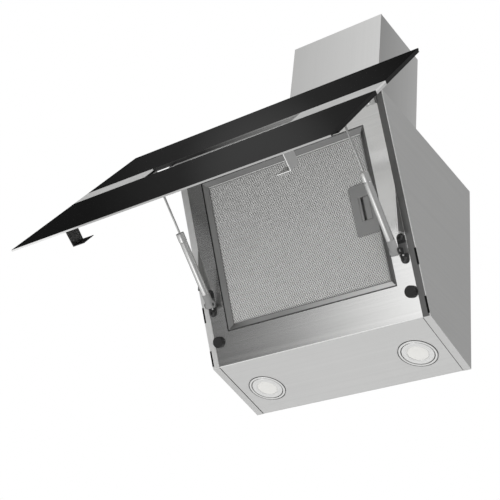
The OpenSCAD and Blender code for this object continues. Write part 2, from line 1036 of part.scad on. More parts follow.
// Fan and motor
function scroll_r(angle) = scroll_min + (scroll_max - scroll_min) * (angle - scroll_from) / (360 - scroll_from);
function scroll(wall) = let (top = front_h - sheet - fan_z) concat(
    [for (i = [0 : scroll_steps])
        let (a = scroll_from + (360 - scroll_from) * i / scroll_steps, r = scroll_r(a) - wall)
        [r * cos(a), r * sin(a)]],
    [
        [outlet_w / 2 + fan_left - wall, top + (wall > 0 ? over : 0)],
        [fan_left - outlet_w / 2 + wall, top + (wall > 0 ? over : 0)]
    ]
);
module fan_housing() {
    color(zinc)
        on_fan()
            difference() {
                linear_extrude(fan_depth)
                    polygon(scroll(0));
                translate([0, 0, fan_wall])
                    linear_extrude(fan_depth)
                        polygon(scroll(fan_wall));
            }
}
module fan_inlet_cover() {
    color(zinc)
        on_fan()
            difference() {
                union() {
                    translate([0, 0, fan_depth])
                        linear_extrude(fan_wall)
                            polygon(scroll(0));
                    translate([0, 0, fan_depth])
                        cylinder(h = inlet_lip, d = inlet_d + 2 * fan_wall);
                }
                translate([0, 0, fan_depth - over])
                    cylinder(h = inlet_lip + 2 * over, d = inlet_d);
            }
}
module fan_feet() {
    color(black_rubber)
        on_fan()
            for (x = [-foot_spread, foot_spread], y = [-foot_spread, foot_spread])
                translate([x, y, sheet - fan_back])
                    cylinder(h = fan_back - sheet, d = foot_d);
}
module motor() {
    color(black_paint)
        on_fan()
            difference() {
                union() {
                    translate([0, 0, fan_wall])
                        cylinder(h = motor_len - fan_wall, d = motor_d);
                    translate([0, 0, motor_len - over])
                        cylinder(h = motor_cap_len + over, d = motor_cap_d);
                }
                translate([0, 0, motor_len + motor_cap_len - shaft_in])
                    cylinder(h = shaft_in + over, d = shaft_d + 2 * fit);
            }
}
module motor_shaft() {
    start = motor_len + motor_cap_len - shaft_in + play;
    color(bright_steel)
        on_fan()
            translate([0, 0, start])
                cylinder(h = impeller_back + hub_h - start, d = shaft_d);
}
module impeller() {
    outer = fan_d / 2;
    color(zinc)
        on_fan()
            translate([0, 0, impeller_back])
                difference() {
                    union() {
                        cylinder(h = fan_wall, r = outer);
                        cylinder(h = hub_h, d = hub_d);
                        for (i = [0 : blade_count - 1])
                            rotate([0, 0, i * 360 / blade_count])
                                translate([blade_in_r, 0, fan_wall / 2])
                                    blade();
                        translate([0, 0, impeller_h - 2 * fan_wall])
                            difference() {
                                cylinder(h = 2 * fan_wall, r = outer);
                                translate([0, 0, -over])
                                    cylinder(h = 2 * fan_wall + 2 * over, r = blade_in_r + blade_lead);
                            }
                    }
                    translate([0, 0, -over])
                        cylinder(h = hub_h + 2 * over, d = shaft_d);
                }
}
// One forward-curved blade, an arc from the inner to the outer radius
module blade() {
    translate([0, blade_r, 0])
        rotate([0, 0, -90])
            rotate_extrude(angle = blade_sweep)
                translate([blade_r - blade_t, 0])
                    square([blade_t, impeller_h - fan_wall - fan_wall / 2]);
}

// Duct collar with two non-return flaps on one rod
module outlet_collar() {
    color(zinc)
        translate([0, duct_y, front_h])
            difference() {
                union() {
                    cylinder(h = collar_wall, d = collar_d + 2 * collar_flange);
                    cylinder(h = collar_h, d = collar_d);
                }
                translate([0, 0, -over])
                    cylinder(h = collar_h + 2 * over, d = collar_d - 2 * collar_wall);
                translate([0, 0, damper_up])
                    bar_x(-collar_d, 2 * collar_d, damper_rod_d + 2 * fit);
            }
}
module damper_rod() {
    color(bright_steel)
        translate([0, duct_y, front_h + damper_up])
            bar_x((collar_wall - collar_d) / 2, collar_d - collar_wall, damper_rod_d);
}
// The rear half, carried on the knuckles given by their ranges along the rod
module damper_flap(knuckles) {
    r = collar_d / 2 - collar_wall - damper_gap;
    difference() {
        union() {
            intersection() {
                translate([0, 0, -damper_t / 2])
                    cylinder(h = damper_t, r = r);
                slab([-r, r], [flap_root, r], [-damper_t, damper_t]);
            }
            for (k = knuckles) {
                bar_x(k[0], k[1] - k[0], 2 * knuckle_r);
                slab([k[0], k[1]], [0, flap_root + over], [-damper_t / 2, damper_t / 2]);
            }
        }
        bar_x(-r, 2 * r, damper_rod_d + 2 * fit);
    }
}
module damper_flap_rear() {
    color(zinc)
        translate([0, duct_y, front_h + damper_up])
            damper_flap([[-knuckle_half, knuckle_half]]);
}
module damper_flap_front() {
    side = [knuckle_half + knuckle_gap, knuckle_out];
    color(zinc)
        translate([0, duct_y, front_h + damper_up])
            mirror([0, 1, 0])
                damper_flap([side, [-side[1], -side[0]]]);
}

// Chimney covers
module chimney_section(w, d, wall, lip, low, high) {
    difference() {
        slab([-w / 2, w / 2], [-d, 0], [low, high]);
        slab([-w / 2 + wall, w / 2 - wall], [-d + wall, -wall], [low - over, high + over]);
        slab([-w / 2 + lip, w / 2 - lip], [-wall - over, over], [low - over, high + over]);
    }
}
module lower_chimney() {
    color(steel)
        chimney_section(chimney_w, chimney_d, chimney_t, chimney_lip, front_h, front_h + chimney_h);
}
module upper_chimney() {
    color(steel)
        translate([0, -upper_inset, 0])
            chimney_section(
                upper_w, chimney_d - 2 * upper_inset, chimney_t, chimney_lip - chimney_play,
                front_h + upper_low, front_h + chimney_h - upper_short
            );
}
module chimney_bracket() {
    reach = upper_w / 2 - chimney_t;
    color(zinc)
        difference() {
            translate([0, 0, front_h + chimney_h - hat_below])
                linear_extrude(hat_h)
                    polygon([
                        [-hat_w / 2, 0],
                        [hat_w / 2, 0],
                        [hat_w / 2, -hat_d],
                        [reach, -hat_d],
                        [reach, -hat_d - hat_t],
                        [hat_w / 2 - hat_t, -hat_d - hat_t],
                        [hat_w / 2 - hat_t, -hat_t],
                        [hat_t - hat_w / 2, -hat_t],
                        [hat_t - hat_w / 2, -hat_d - hat_t],
                        [-reach, -hat_d - hat_t],
                        [-reach, -hat_d],
                        [-hat_w / 2, -hat_d]
                    ]);
            for (x = [-hat_hole_x / 2, hat_hole_x / 2])
                translate([x, over, front_h + chimney_h - hat_below + hat_h / 2])
                    rotate([90, 0, 0])
                        cylinder(h = hat_t + 2 * over, d = hat_hole_d);
        }
}

// Electrics
module control_box() {
    color(black_paint)
        translate([box_x - box_w / 2, -sheet - box_d, box_low]) {
            cube([box_w, box_d, box_h]);
            translate([-box_lid, -box_lid, -box_lid])
                cube([box_w + 2 * box_lid, 2 * box_lid, box_h + 2 * box_lid]);
        }
}
module cable_gland() {
    color(black_rubber)
        translate([gland_x, gland_y, front_h])
            difference() {
                union() {
                    translate([0, 0, -gland_down])
                        cylinder(h = gland_down + gland_up, d = gland_d - 2 * fit);
                    cylinder(h = gland_nut_t, d = gland_nut_d, $fn = 6);
                }
                translate([0, 0, -gland_down - over])
                    cylinder(h = gland_down + gland_up + 2 * over, d = gland_bore);
            }
}

back_panel();
left() side_panel();  // left_side_panel
side_panel();  // right_side_panel
top_panel();
front_panel();
light_panel();
filter_frame();
filter_mesh();
filter_core();
filter_handle();
filter_latch();
catch_magnets();
left() strut_mount();  // strut_mount_left
strut_mount();  // strut_mount_right
left() strut_gusset();  // strut_gusset_left
strut_gusset();  // strut_gusset_right
bracket_screws();
left() hinge_bracket();  // hinge_bracket_left
hinge_bracket();  // hinge_bracket_right
hinge_pins();
hinge_screws();
left() lamp_bezel();  // lamp_bezel_left
lamp_bezel();  // lamp_bezel_right
lamp_lenses();
lamp_housings();
fan_housing();
fan_inlet_cover();
fan_feet();
motor();
motor_shaft();
impeller();
outlet_collar();
damper_rod();
damper_flap_front();
damper_flap_rear();
lower_chimney();
upper_chimney();
chimney_bracket();
control_box();
cable_gland();
flap_carrier();
pane(upper_top, gap_top);  // upper_glass
pane(gap_low, glass_low);  // lower_glass
gap_trims();
touch_board();
left() striker();  // striker_left
striker();  // striker_right
left() hinge_arm();  // hinge_arm_left
hinge_arm();  // hinge_arm_right
left() strut_lug();  // strut_lug_left
strut_lug();  // strut_lug_right
left() strut_end();  // strut_end_left
strut_end();  // strut_end_right
left() strut_tube();  // strut_tube_left
strut_tube();  // strut_tube_right
left() strut_rod();  // strut_rod_left
strut_rod();  // strut_rod_right
left() rod_socket();  // rod_socket_left
rod_socket();  // rod_socket_right
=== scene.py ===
from math import atan2, cos, hypot, pi, radians, sin

import bmesh
import bpy
from mathutils import Euler, Matrix, Vector


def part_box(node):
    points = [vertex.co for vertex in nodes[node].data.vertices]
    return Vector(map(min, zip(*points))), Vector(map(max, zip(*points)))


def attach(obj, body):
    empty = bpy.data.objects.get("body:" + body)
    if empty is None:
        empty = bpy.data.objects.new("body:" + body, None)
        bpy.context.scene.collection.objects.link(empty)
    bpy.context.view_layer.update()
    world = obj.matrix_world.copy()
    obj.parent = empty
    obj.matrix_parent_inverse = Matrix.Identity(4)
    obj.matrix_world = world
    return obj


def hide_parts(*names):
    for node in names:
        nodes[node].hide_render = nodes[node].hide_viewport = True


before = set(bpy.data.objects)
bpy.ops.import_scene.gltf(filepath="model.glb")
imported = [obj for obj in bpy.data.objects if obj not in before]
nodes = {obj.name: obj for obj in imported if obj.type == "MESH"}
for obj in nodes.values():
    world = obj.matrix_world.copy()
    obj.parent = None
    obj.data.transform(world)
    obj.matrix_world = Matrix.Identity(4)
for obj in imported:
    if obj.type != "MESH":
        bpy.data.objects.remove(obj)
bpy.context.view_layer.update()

# Places of the hood's working planes, in metres, as in the part's source
BODY_W, BOTTOM_D, TOP_D, FRONT_H, BOTTOM_DROP = 0.580, 0.191, 0.430, 0.452, 0.0365
CHIMNEY_W, CHIMNEY_D, GLASS_W, SUCTION_W = 0.274, 0.200, 0.800, 0.400
SHEET = 0.001  # thickness of the sheet steel
LEAN = atan2(TOP_D - BOTTOM_D, FRONT_H)
PITCH = atan2(BOTTOM_DROP, BOTTOM_D)
SLANT = hypot(TOP_D - BOTTOM_D, FRONT_H)
FLAP_OPEN = radians(61.2)
HINGE_OFF = 0.008
SIDES = {"left": -1, "right": 1}


def tilted(y, z, turn):
    """A plane across the hood through y and z, turned about the hood's width."""
    return Matrix.Translation((0, y, z)) @ Matrix.Rotation(turn, 4, "X")


def front_point(up, off):
    """A point in the hood's middle plane, by its way up the slanted front and its distance before it."""
    return Vector((0, -BOTTOM_D - up * sin(LEAN) - off * cos(LEAN), up * cos(LEAN) - off * sin(LEAN)))


ON_FRONT = tilted(-BOTTOM_D, 0, pi / 2 + LEAN)
ON_UNDERSIDE = tilted(-BOTTOM_D, 0, -PITCH)
HINGE = front_point(SLANT, HINGE_OFF)
ON_FLAP = tilted(HINGE.y, HINGE.z, -(pi / 2 - LEAN + FLAP_OPEN))
STRUT_X, STRUT_FOOT, STRUT_OFF = 0.250, 0.148, 0.021
LUG_DOWN, LUG_IN = 0.1475, -0.0225
STRUT_LOW = front_point(STRUT_FOOT, STRUT_OFF)
STRUT_HIGH = ON_FLAP @ Vector((0, LUG_DOWN, LUG_IN))
STRUT_RUN = STRUT_HIGH - STRUT_LOW
STRUT_LEN = STRUT_RUN.length


def on_strut(sign):
    """The lower eye of a strut, with Z along the strut."""
    turn = atan2(STRUT_RUN.z, STRUT_RUN.y) - pi / 2
    return Matrix.Translation((sign * STRUT_X, 0, 0)) @ tilted(STRUT_LOW.y, STRUT_LOW.z, turn)


def mirrored(plane, x, y, z=0.0):
    """The same place on the left and the right half of a plane."""
    return [plane @ Matrix.Translation((sign * x, y, z)) for sign in SIDES.values()]


def both_sides(near, far):
    """The limits across of something that lies at the same distances on the left and the right."""
    return [sorted((sign * near, sign * far)) for sign in SIDES.values()]


# Shader building blocks
def add(tree, kind, inputs=(), **settings):
    """A new node with its settings, its inputs linked to sockets or set to values."""
    made = tree.nodes.new(kind)
    for key, value in settings.items():
        setattr(made, key, value)
    for key, value in dict(inputs).items():
        if isinstance(value, bpy.types.NodeSocket):
            tree.links.new(value, made.inputs[key])
        else:
            made.inputs[key].default_value = value
    return made


def math(tree, operation, *values):
    """The result of one sum on sockets or values."""
    return add(tree, "ShaderNodeMath", enumerate(values), operation=operation).outputs[0]


def axes(tree, vector):
    """The three parts of a vector."""
    return add(tree, "ShaderNodeSeparateXYZ", {0: vector}).outputs


def normal_axes(tree):
    """The three parts of the way that a face looks."""
    return axes(tree, add(tree, "ShaderNodeNewGeometry").outputs["Normal"])


def along(tree, vector, way):
    """How far a vector goes along a fixed way."""
    return add(tree, "ShaderNodeVectorMath", {0: vector, 1: way}, operation="DOT_PRODUCT").outputs["Value"]


def ramp(tree, value, start, end, top=1.0, **settings):
    """Goes from 0 at start to top at end, and stays level beyond them."""
    inputs = {0: value, 1: start, 2: end, 3: 0.0, 4: top}
    return add(tree, "ShaderNodeMapRange", inputs, **settings).outputs[0]


def noise(tree, vector, scale, detail=2.0):
    """Soft noise around one half."""
    return add(tree, "ShaderNodeTexNoise", {"Vector": vector, "Scale": scale, "Detail": detail}).outputs[0]


def shader_group(name, inputs, outputs):
    """An empty node group with its inputs and outputs."""
    tree = bpy.data.node_groups.new(name, "ShaderNodeTree")
    for label, kind, value in inputs:
        socket = tree.interface.new_socket(label, in_out="INPUT", socket_type=kind)
        if value is not None:
            socket.default_value = value
    for label in outputs:
        tree.interface.new_socket(label, in_out="OUTPUT", socket_type="NodeSocketFloat")
    return tree, tree.nodes.new("NodeGroupInput").outputs, tree.nodes.new("NodeGroupOutput").inputs


def brushed_grain_group():
    """Long fine scratches, with broader bands among them and slow clouds over the sheet."""
    tree, given, out = shader_group(
        "brushed grain",
        [("Vector", "NodeSocketVector", None), ("Lay", "NodeSocketVector", (4, 4, 700)),
         ("Streaks", "NodeSocketFloat", 0.1), ("Clouds", "NodeSocketFloat", 0.1)],
        ["Shade", "Rough", "Height"],
    )
    laid = add(tree, "ShaderNodeVectorMath", {0: given["Vector"], 1: given["Lay"]}, operation="MULTIPLY")
    fine = noise(tree, laid.outputs[0], 1.0, 4.0)
    broad = noise(tree, laid.outputs[0], 0.22)
    cloud = noise(tree, given["Vector"], 5.0)
    streak = math(tree, "SUBTRACT", math(tree, "ADD", fine, broad), 1.0)
    drift = math(tree, "SUBTRACT", cloud, 0.5)
    shade = math(tree, "MULTIPLY_ADD", streak, given["Streaks"], 1.0)
    shade = math(tree, "MULTIPLY_ADD", drift, given["Clouds"], shade)
    tree.links.new(shade, out["Shade"])
    rough = math(tree, "MULTIPLY_ADD", drift, 0.08, 1.0)
    tree.links.new(math(tree, "MULTIPLY_ADD", streak, 0.12, rough), out["Rough"])
    tree.links.new(fine, out["Height"])
    return tree


def surface_group():
    """Fine pores and slow smudges, for paint, moulded plastic, rubber, zinc and glass."""
    tree, given, out = shader_group(
        "fine surface",
        [("Vector", "NodeSocketVector", None), ("Pore size", "NodeSocketFloat", 1500.0),
         ("Smudges", "NodeSocketFloat", 0.1)],
        ["Shade", "Rough", "Height"],
    )
    drift = math(tree, "SUBTRACT", noise(tree, given["Vector"], 14.0, 5.0), 0.5)
    tree.links.new(math(tree, "MULTIPLY_ADD", drift, given["Smudges"], 1.0), out["Shade"])
    tree.links.new(math(tree, "MULTIPLY_ADD", drift, 0.5, 1.0), out["Rough"])
    tree.links.new(noise(tree, given["Vector"], given["Pore size"]), out["Height"])
    return tree


def spangle_group():
    """The cells of zinc plating, each a little lighter or darker."""
    tree, given, out = shader_group(
        "zinc spangle",
        [("Vector", "NodeSocketVector", None), ("Cells", "NodeSocketFloat", 90.0),
         ("Contrast", "NodeSocketFloat", 0.2)],
        ["Shade"],
    )
    cells = add(tree, "ShaderNodeTexVoronoi", {"Vector": given["Vector"], "Scale": given["Cells"]})
    tone = add(tree, "ShaderNodeSeparateColor", {0: cells.outputs["Color"]}).outputs[0]
    drift = math(tree, "SUBTRACT", tone, 0.5)
    tree.links.new(math(tree, "MULTIPLY_ADD", drift, given["Contrast"], 1.0), out["Shade"])
    return tree


GRAIN = brushed_grain_group()
SURFACE = surface_group()
SPANGLE = spangle_group()
MATERIALS = {}


def start_material(name, **fixed):
    """Keeps a new material under its name. The keys of fixed are its shader's sockets, with _ for a space."""
    material = bpy.data.materials.new(name)
    MATERIALS[name] = material
    material.use_nodes = True
    tree = material.node_tree
    shader = tree.nodes["Principled BSDF"]
    for key, value in fixed.items():
        shader.inputs[key.replace("_", " ")].default_value = value
    where = add(tree, "ShaderNodeTexCoord").outputs["Object"]
    return tree, shader, where


def end_material(tree, shader, colour, effect, roughness, strength, depth):
    """Links the colour and the roughness, both made uneven by an effect, and the effect's height."""
    tree.links.new(shaded(tree, colour, effect["Shade"]), shader.inputs["Base Color"])
    tree.links.new(math(tree, "MULTIPLY", effect["Rough"], roughness), shader.inputs["Roughness"])
    relief = {"Height": effect["Height"], "Strength": strength, "Distance": depth}
    tree.links.new(add(tree, "ShaderNodeBump", relief).outputs[0], shader.inputs["Normal"])


def shaded(tree, colour, shade):
    """A colour made lighter or darker by a value around 1."""
    mix = add(tree, "ShaderNodeMix", data_type="RGBA", blend_type="MULTIPLY")
    mix.inputs["Factor"].default_value = 1.0
    if isinstance(colour, bpy.types.NodeSocket):
        tree.links.new(colour, mix.inputs[6])
    else:
        mix.inputs[6].default_value = (*colour, 1)
    tree.links.new(shade, mix.inputs[7])
    return mix.outputs[2]


def blended(tree, amount, low, high):
    """One of two colours, by a mask."""
    mix = add(tree, "ShaderNodeMix", data_type="RGBA")
    tree.links.new(amount, mix.inputs["Factor"])
    for index, colour in ((6, low), (7, high)):
        if isinstance(colour, bpy.types.NodeSocket):
            tree.links.new(colour, mix.inputs[index])
        else:
            mix.inputs[index].default_value = (*colour, 1)
    return mix.outputs[2]


def grey(level):
    """A grey a trace warmer than neutral."""
    return (level, level, level * 0.99)


# Touches change a sheet's colour by place or by the way that a face looks; all but the dark joint are painted
# light and shade
def lips(level, metal=1.0):
    """A side panel's folded lips, painted at a given level and metal as painted light or shade, with a
    painted highlight on the rounded edge and a painted highlight line along their outer side.
    """
    painted_edge_highlight, painted_line_highlight, line_at = 0.95, 0.75, BODY_W / 2 - 0.0016

    def touch(tree, shader, where, colour):
        normal = normal_axes(tree)
        sideways = math(tree, "ABSOLUTE", normal[0])
        ahead = math(tree, "LESS_THAN", normal[1], -0.5)
        mask = math(tree, "MULTIPLY", math(tree, "LESS_THAN", sideways, 0.5), ahead)
        # painted light or shade: the lips' faces at the given level
        colour = blended(tree, mask, colour, grey(level))
        # painted highlight on the rounded edge
        colour = blended(tree, math(tree, "COMPARE", sideways, 0.70, 0.25), colour, grey(painted_edge_highlight))
        # painted highlight line along the lips' outer side
        outer = math(tree, "GREATER_THAN", math(tree, "ABSOLUTE", axes(tree, where)[0]), line_at)
        tree.links.new(math(tree, "MULTIPLY_ADD", mask, metal - 1.0, 1.0), shader.inputs["Metallic"])
        return blended(tree, math(tree, "MULTIPLY", mask, outer), colour, grey(painted_line_highlight))

    return touch


def frame_painted_light(painted_level_at_left, painted_level_at_right, painted_right_face_level, painted_left_face_level):
    """Painted light and shade on a frame: its faces that look level or upward go between two painted levels
    from the hood's left to its right, where they turn matt, and its faces that look right and left get
    painted levels of their own."""
    reach, matt_share = 0.22, 0.8

    def touch(tree, shader, where, colour):
        normal = normal_axes(tree)
        share = ramp(tree, axes(tree, where)[0], -reach, reach)
        level_face = math(tree, "GREATER_THAN", normal[2], -0.2)
        colour = blended(tree, level_face, colour, blended(tree, share, grey(painted_level_at_left), grey(painted_level_at_right)))
        colour = blended(tree, math(tree, "GREATER_THAN", normal[0], 0.3), colour, grey(painted_right_face_level))
        colour = blended(tree, math(tree, "LESS_THAN", normal[0], -0.3), colour, grey(painted_left_face_level))
        matt = math(tree, "MULTIPLY", level_face, share)
        tree.links.new(math(tree, "MULTIPLY_ADD", matt, -matt_share, 1.0), shader.inputs["Metallic"])
        return colour

    return touch


def painted_shade_to_left(level):
    """A sheet with painted shade that darkens it toward the hood's left."""
    def touch(tree, shader, where, colour):
        return blended(tree, ramp(tree, axes(tree, where)[0], -0.32, -0.05), grey(level), colour)

    return touch


def chimney_painted_light(front_right, side_front, side_back):
    """The chimney with painted light and shade: its front changes from the sheet's own level to another at
    its right, and its sides from one level at the front to another at the back."""
    def touch(tree, shader, where, colour):
        turned = math(tree, "GREATER_THAN", math(tree, "ABSOLUTE", normal_axes(tree)[0]), 0.5)
        at = axes(tree, where)
        front = blended(tree, ramp(tree, at[0], -CHIMNEY_W / 2, CHIMNEY_W / 2), colour, grey(front_right))
        side = blended(tree, ramp(tree, at[1], -CHIMNEY_D, 0.0), grey(side_front), grey(side_back))
        return blended(tree, turned, front, side)

    return touch


def seam(start):
    """A dark joint from a distance off the middle outward."""
    def touch(tree, shader, where, colour):
        across = math(tree, "ABSOLUTE", axes(tree, where)[0])
        return blended(tree, math(tree, "GREATER_THAN", across, start), colour, grey(0.06))

    return touch


def brushed_steel(name, level, roughness, lay, streaks=0.10, clouds=0.06, depth=0.00002, touch=None):
    """Brushed sheet. lay is the scale of the scratches on each axis."""
    tree, shader, where = start_material(name, Metallic=1.0)
    inputs = {"Vector": where, "Lay": lay, "Streaks": streaks, "Clouds": clouds}
    grain = add(tree, "ShaderNodeGroup", inputs, node_tree=GRAIN).outputs
    colour = touch(tree, shader, where, grey(level)) if touch else grey(level)
    end_material(tree, shader, colour, grain, roughness, 0.5, depth)


def fine_surface(tree, where, pores=1500.0, smudges=0.1):
    """The outputs of the pores and smudges, for the end of a material."""
    inputs = {"Vector": where, "Pore size": pores, "Smudges": smudges}
    return add(tree, "ShaderNodeGroup", inputs, node_tree=SURFACE).outputs


def plain_finish(name, colour, roughness, pores=1500.0, smudges=0.2, depth=0.00001, fade=None, **fixed):
    """Paint, plastic, rubber, glass or polished metal, by the sockets in fixed. fade holds the level that it
    turns into toward the hood's right, and where the change starts and ends."""
    tree, shader, where = start_material(name, **fixed)
    if fade:
        level, start, end = fade
        colour = blended(tree, ramp(tree, axes(tree, where)[0], start, end), colour, grey(level))
    end_material(tree, shader, colour, fine_surface(tree, where, pores, smudges), roughness, 0.4, depth)


def paint_with_grey_flat(name, middle, reach, face):
    """Black paint, lighter grey on the flat of the strut mounts between their screws. middle and reach say
    where the grey lies up the slanted front, and face how far off the front."""
    tree, shader, where = start_material(name, Roughness=0.38)
    up, out = (ON_FRONT.to_3x3() @ Vector(way) for way in ((0, 1, 0), (0, 0, 1)))
    start = ON_FRONT @ Vector((0, middle, face))
    near = math(tree, "COMPARE", along(tree, where, up), start.dot(up), reach)
    flat = math(tree, "LESS_THAN", along(tree, where, out), start.dot(out))
    colour = blended(tree, math(tree, "MULTIPLY", near, flat), grey(0.018), grey(0.11))
    end_material(tree, shader, colour, fine_surface(tree, where), 0.38, 0.4, 0.00001)


def zinc_plate(name, level, roughness, cells):
    """Zinc plating. cells is the scale of its spangle."""
    tree, shader, where = start_material(name, Metallic=1.0)
    spangle = add(tree, "ShaderNodeGroup", node_tree=SPANGLE)
    tree.links.new(where, spangle.inputs["Vector"])
    spangle.inputs["Cells"].default_value = cells
    colour = shaded(tree, grey(level), spangle.outputs["Shade"])
    end_material(tree, shader, colour, fine_surface(tree, where), roughness, 0.4, 0.00002)


# Scales of the scratches, which run along the axis with the small one
ALONG_X, ALONG_Y, ALONG_Z, TUBE_LAY = (3, 600, 600), (500, 3, 500), (600, 600, 3), (500, 500, 8)
# Near side lips painted dark as painted shade; far side lips painted light and less metallic as painted light
brushed_steel("side steel", 0.62, 0.36, ALONG_Y, touch=lips(0.16))
brushed_steel("far side steel", 0.62, 0.36, ALONG_Y, touch=lips(0.7, metal=0.35))
brushed_steel("front steel", 0.74, 0.20, ALONG_X, streaks=0.16, clouds=0.12, depth=0.000003)
brushed_steel("underside steel", 0.64, 0.34, ALONG_X, streaks=0.08, touch=seam(BODY_W / 2 - 0.020))
brushed_steel("shell steel", 0.66, 0.38, ALONG_X)
# Chimney front and sides with painted light and shade
brushed_steel("chimney steel", 0.62, 0.36, ALONG_Z, streaks=0.05, touch=chimney_painted_light(0.80, 0.50, 0.74))
# Frame faces painted lighter toward the right and by the way they look, as painted light and shade
brushed_steel("frame steel", 0.21, 0.34, ALONG_X, streaks=0.06, depth=0.000005,
              touch=frame_painted_light(0.40, 0.85, painted_right_face_level=0.38, painted_left_face_level=0.12))
brushed_steel("bracket steel", 0.6, 0.3, ALONG_X)
# A darker copy of the bracket steel, as painted shade
brushed_steel("bracket steel in painted shade", 0.36, 0.3, ALONG_X)
# Dark steel for the left striker, as painted shade
brushed_steel("shaded steel", 0.10, 0.3, ALONG_X, streaks=0.02, depth=0.000002)
# Inner side of the flap carrier, with painted shade toward the left
brushed_steel("liner steel", 0.74, 0.3, ALONG_X, streaks=0.05, touch=painted_shade_to_left(0.12))
brushed_steel("bright trim", 0.8, 0.3, ALONG_X, streaks=0.05)
brushed_steel("strut steel", 0.62, 0.22, TUBE_LAY, streaks=0.04, depth=0.000002)
plain_finish("rod steel", grey(0.45), 0.12, Metallic=1.0, smudges=0.05, depth=0.000002)
plain_finish("satin trim", grey(0.50), 0.5, smudges=0.1)
plain_finish("mesh aluminium", grey(0.98), 0.4, Metallic=0.3, smudges=0.0)
# The filter core behind the mesh is kept dark as painted shade
plain_finish("core aluminium in painted shade", grey(0.20), 0.6, smudges=0.0)
plain_finish("wheel aluminium", grey(0.7), 0.35, Metallic=1.0)
plain_finish("chrome", grey(0.85), 0.08, Metallic=1.0, smudges=0.05, depth=0.000002)
zinc_plate("zinc", 0.6, 0.38, 90.0)
plain_finish("black paint", grey(0.018), 0.38, smudges=0.3)
paint_with_grey_flat("mount paint", middle=0.154, reach=0.0115, face=0.0035)
plain_finish("black edge", grey(0.004), 0.5, smudges=0.1, Specular_IOR_Level=0.12)
# Bright strips and edges: painted highlights on the right gusset's edges and along the folds, and the small
# bright patches on the mounts
plain_finish("polished edge and painted highlight", grey(0.85), 0.35, smudges=0.05)
# Painted highlight along the lower pane's long edges, bright at the left end and dimmer from there to the
# right
plain_finish("glass edge painted highlight", grey(0.80), 0.35, smudges=0.05, fade=(0.42, -0.26, -0.19))
# Painted shade in the suction slot: near black at the left, turning lighter grey toward the right
plain_finish("slot wall painted shade", grey(0.012), 0.5, smudges=0.05, fade=(0.32, -0.06, 0.17))
plain_finish("slot lip", grey(0.27), 0.5, smudges=0.1)
plain_finish("trim end", grey(0.36), 0.5, smudges=0.1)
plain_finish("black screws", grey(0.03), 0.25, smudges=0.2)
plain_finish("black rubber", grey(0.014), 0.62, pores=900.0, depth=0.00004)
plain_finish("black plastic", grey(0.015), 0.45, pores=2200.0, depth=0.00003)
plain_finish("grey plastic", grey(0.28), 0.5, pores=2600.0, depth=0.00003, smudges=0.08)
plain_finish("handle plastic", grey(0.24), 0.42, pores=2600.0, depth=0.00002, smudges=0.06)
plain_finish("black glass", grey(0.005), 0.05, smudges=0.3, depth=0.0)
plain_finish("seal grey and painted groove shade", grey(0.09), 0.5, smudges=0.05)
plain_finish("opal glass", (0.80, 0.795, 0.77), 0.18, pores=700.0, smudges=0.10, depth=0.0, Coat_Weight=0.4)
plain_finish("circuit board", (0.01, 0.05, 0.02), 0.5)


# Mesh building blocks, with the reach within which two points are one, or a point is on the axis
SAME_POINT, ON_AXIS = 1e-7, 1e-9


def placed(name, data):
    """A new object in the scene."""
    made = bpy.data.objects.new(name, data)
    bpy.context.scene.collection.objects.link(made)
    return made


def applied(obj):
    """An object's mesh with its modifiers applied."""
    bpy.context.view_layer.update()
    return bpy.data.meshes.new_from_object(obj.evaluated_get(bpy.context.evaluated_depsgraph_get()))


def piece(name, bm, material, body, replaced=(), smooth=40, flat_faces=False):
    """Turns a bmesh in the hood's frame into a finished piece on its body."""
    mesh = bpy.data.meshes.new(name)
    bm.to_mesh(mesh)
    bm.free()
    mesh.materials.append(MATERIALS[material])
    mesh.shade_smooth()
    mesh.set_sharp_from_angle(angle=radians(smooth))
    made = placed(name, mesh)
    if flat_faces:
        weighting = made.modifiers.new("weighted normals", "WEIGHTED_NORMAL")
        weighting.keep_sharp = True
        weighting.weight = 100
        weighted = applied(made)
        made.modifiers.clear()
        made.data = weighted
        bpy.data.meshes.remove(mesh)
        weighted.name = name
    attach(made, body)
    if replaced:
        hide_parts(*replaced)
    return made


def join(target, source, place):
    """Adds a bmesh, put in place, to another."""
    scratch = bpy.data.meshes.new("scratch")
    source.to_mesh(scratch)
    source.free()
    scratch.transform(place)
    target.from_mesh(scratch)
    bpy.data.meshes.remove(scratch)
    return target


def ease_edges(bm, width):
    """Rounds every edge that turns by more than a shallow angle."""
    sharp = [e for e in bm.edges if e.is_manifold and e.calc_face_angle(0) > radians(25)]
    bmesh.ops.bevel(bm, geom=sharp, offset=width, segments=2, profile=0.5, affect="EDGES", clamp_overlap=True)


def boxes(place, limits, ease=0.0):
    """Boxes on a plane, each given by its limits across, along and out of it."""
    made = bmesh.new()
    for box in limits:
        bm = bmesh.new()
        bmesh.ops.create_cube(bm, size=1)
        for v in bm.verts:
            v.co = Vector(pair[0] if c < 0 else pair[1] for pair, c in zip(box, v.co))
        if ease:
            ease_edges(bm, ease)
        join(made, bm, place)
    return made


def lathe(profile, segments):
    """A closed outline in radius and height, turned about Z."""
    bm = bmesh.new()
    rings = []
    for i in range(segments):
        a = 2 * pi * i / segments
        rings.append([bm.verts.new((r * cos(a), r * sin(a), z)) for r, z in profile])
    count = len(profile)
    for i in range(segments):
        ring, after = rings[i], rings[(i + 1) % segments]
        for j in range(count):
            k = (j + 1) % count
            if profile[j][0] < ON_AXIS and profile[k][0] < ON_AXIS:
                continue
            bm.faces.new((ring[j], after[j], after[k], ring[k]))
    bmesh.ops.remove_doubles(bm, verts=bm.verts, dist=SAME_POINT)
    bmesh.ops.dissolve_degenerate(bm, edges=bm.edges, dist=1e-8)
    bmesh.ops.recalc_face_normals(bm, faces=bm.faces)
    return bm


